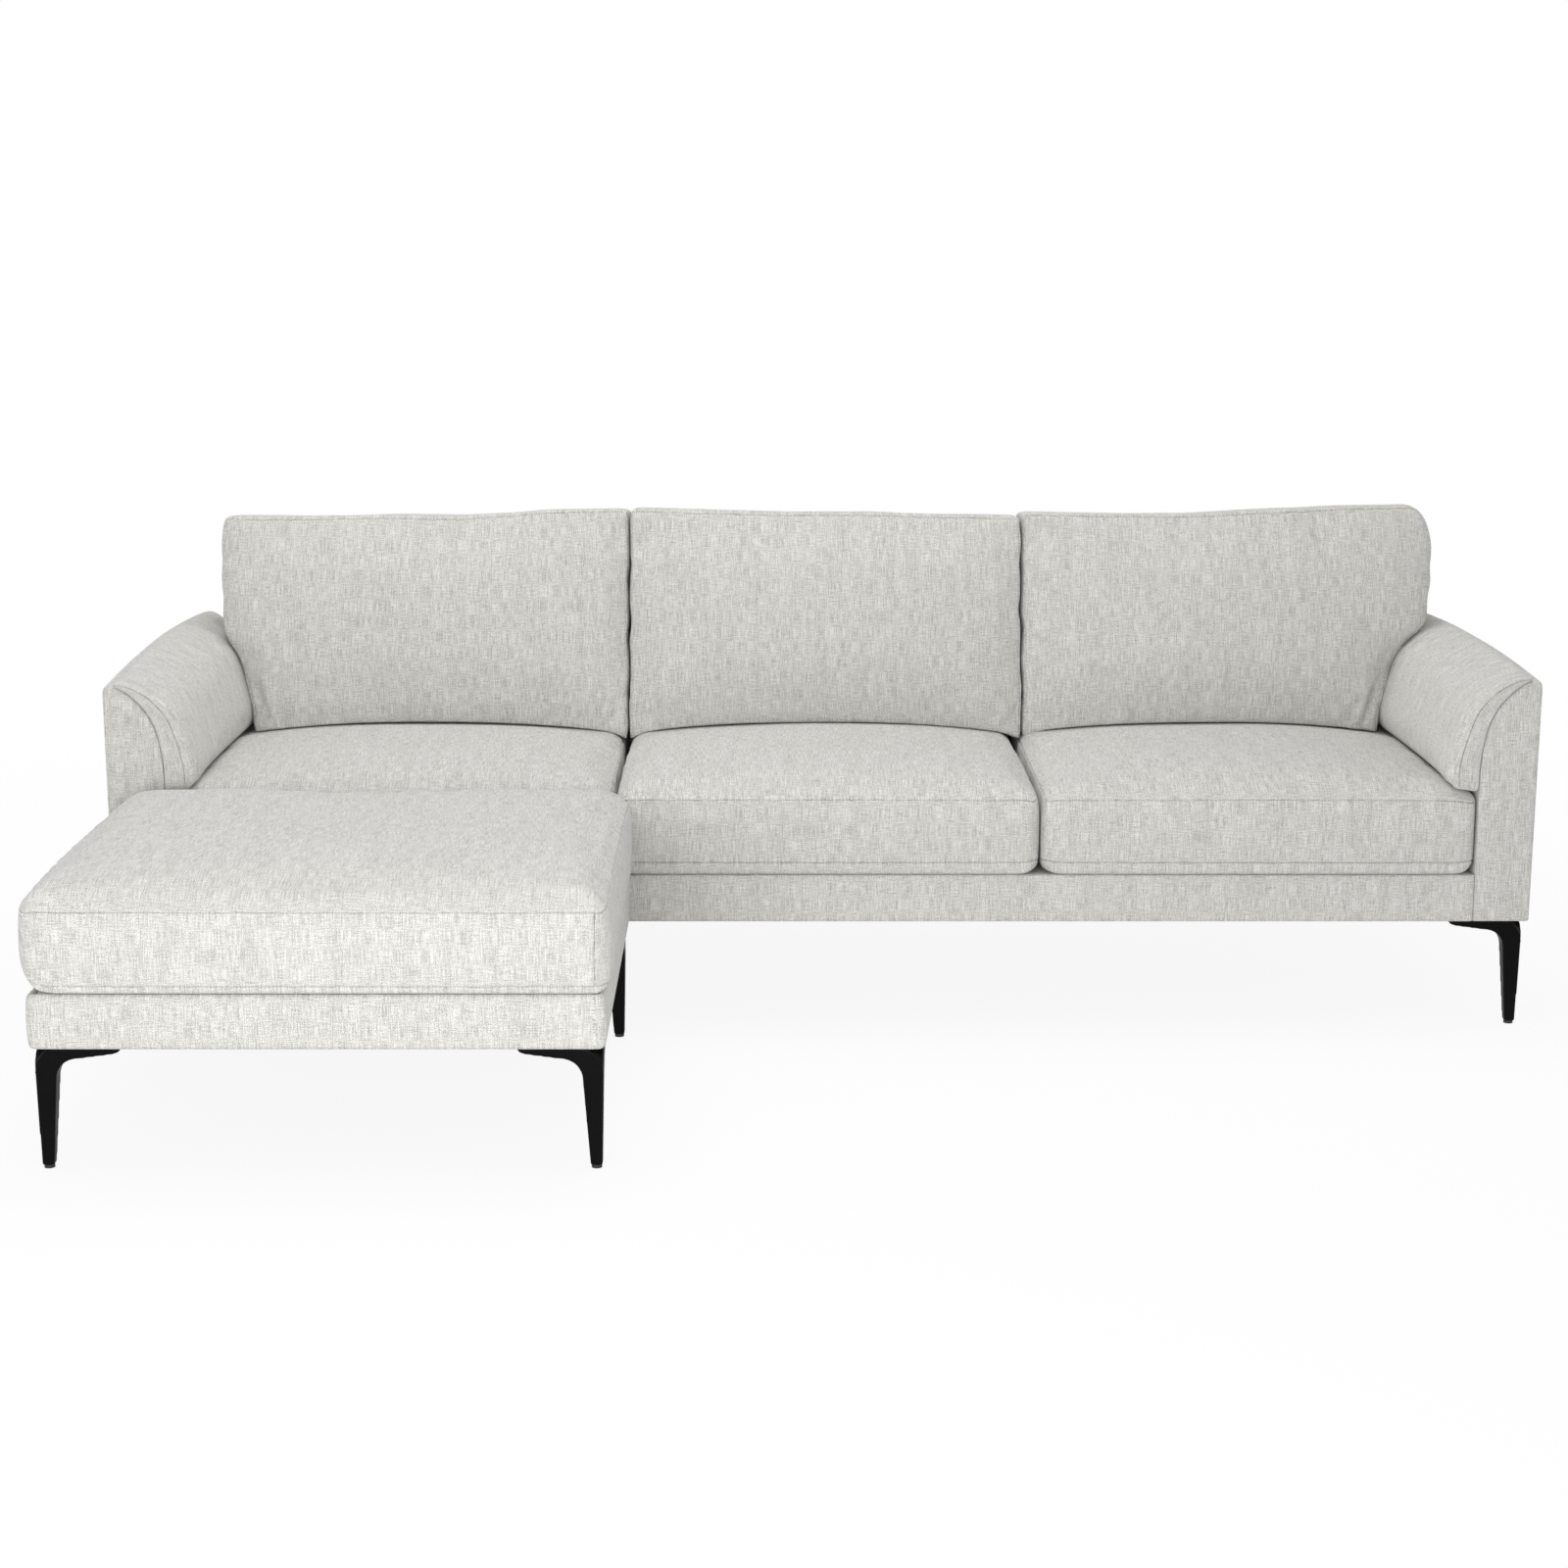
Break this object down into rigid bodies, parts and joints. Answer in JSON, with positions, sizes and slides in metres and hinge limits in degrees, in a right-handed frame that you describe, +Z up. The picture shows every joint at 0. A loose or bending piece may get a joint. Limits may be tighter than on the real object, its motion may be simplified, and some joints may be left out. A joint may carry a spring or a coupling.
{
  "type": "three-seater sofa with footstool",
  "caption": "Upholstered sofa with loose seat and back cushions, arms with draped saddle pads and winged cast legs, and a matching footstool standing before one seat.",
  "frame": {"origin": "on the floor, at the middle of the footprint of the sofa and its footstool together", "axes": "+X along the sofa to the sitter's left, which is the right of the picture; the front faces -Y; +Z up"},
  "size_m": [2.45, 1.6588, 0.8431],
  "materials": {
    "upholstery": "heathered coarse weave",
    "foam": "open-cell foam",
    "lining": "non-woven felt",
    "webbing": "elastic web",
    "timber": "raw pine and plywood",
    "cast_metal": "satin powder coat",
    "glide_plastic": "moulded"
  },
  "bodies": {
    "sofa": {"arm_frame_left": "timber", "arm_frame_right": "timber", "arm_pad_left": "upholstery", "arm_pad_right": "upholstery", "arm_shell_left": "upholstery", "arm_shell_right": "upholstery", "back_top_rail": "timber", "back_uprights": "timber", "back_webbing": "webbing", "corner_blocks": "timber", "dust_cover": "lining", "front_border": "upholstery", "front_rail": "timber", "inside_back": "upholstery", "leg_back_left": "cast_metal", "leg_back_right": "cast_metal", "leg_front_left": "cast_metal", "leg_front_right": "cast_metal", "leg_glides": "glide_plastic", "outside_back": "upholstery", "rear_rail": "timber", "seat_bearers": "timber", "seat_cushion_left_core": "foam", "seat_cushion_left_cover": "upholstery", "seat_cushion_right_core": "foam", "seat_cushion_right_cover": "upholstery", "seat_deck": "lining", "seat_rear_rail": "timber", "seat_webbing": "webbing", "side_rail_left": "timber", "side_rail_right": "timber"},
    "seat_cushion_middle": {"seat_cushion_middle_core": "foam", "seat_cushion_middle_cover": "upholstery"},
    "back_cushion_left": {"back_cushion_left_core": "foam", "back_cushion_left_cover": "upholstery"},
    "back_cushion_middle": {"back_cushion_middle_core": "foam", "back_cushion_middle_cover": "upholstery"},
    "back_cushion_right": {"back_cushion_right_core": "foam", "back_cushion_right_cover": "upholstery"},
    "footstool": {"footstool_border_front": "upholstery", "footstool_border_left": "upholstery", "footstool_border_rear": "upholstery", "footstool_border_right": "upholstery", "footstool_corner_blocks": "timber", "footstool_deck": "lining", "footstool_dust_cover": "lining", "footstool_front_rail": "timber", "footstool_leg_back_left": "cast_metal", "footstool_leg_back_right": "cast_metal", "footstool_leg_front_left": "cast_metal", "footstool_leg_front_right": "cast_metal", "footstool_leg_glides": "glide_plastic", "footstool_rear_rail": "timber", "footstool_side_rail_left": "timber", "footstool_side_rail_right": "timber", "footstool_webbing": "webbing"},
    "footstool_cushion": {"footstool_cushion_core": "foam", "footstool_cushion_cover": "upholstery"}
  },
  "joints": [
    {"name": "seat_cushion_middle_lift", "type": "slide", "parent": "sofa", "child": "seat_cushion_middle", "axis": [0, 0, 1], "range_m": [0, 0.25]},
    {"name": "back_cushion_middle_lift", "type": "slide", "parent": "seat_cushion_middle", "child": "back_cushion_middle", "axis": [0, 0, 1], "range_m": [0, 0.35]},
    {"name": "back_cushion_left_lift", "type": "slide", "parent": "sofa", "child": "back_cushion_left", "axis": [0, 0, 1], "range_m": [0, 0.35]},
    {"name": "back_cushion_right_lift", "type": "slide", "parent": "sofa", "child": "back_cushion_right", "axis": [0, 0, 1], "range_m": [0, 0.35]},
    {"name": "footstool_push", "type": "slide", "parent": "sofa", "child": "footstool", "axis": [0, -1, 0], "range_m": [0, 0.6]},
    {"name": "footstool_cushion_lift", "type": "slide", "parent": "footstool", "child": "footstool_cushion", "axis": [0, 0, 1], "range_m": [0, 0.25]}
  ]
}
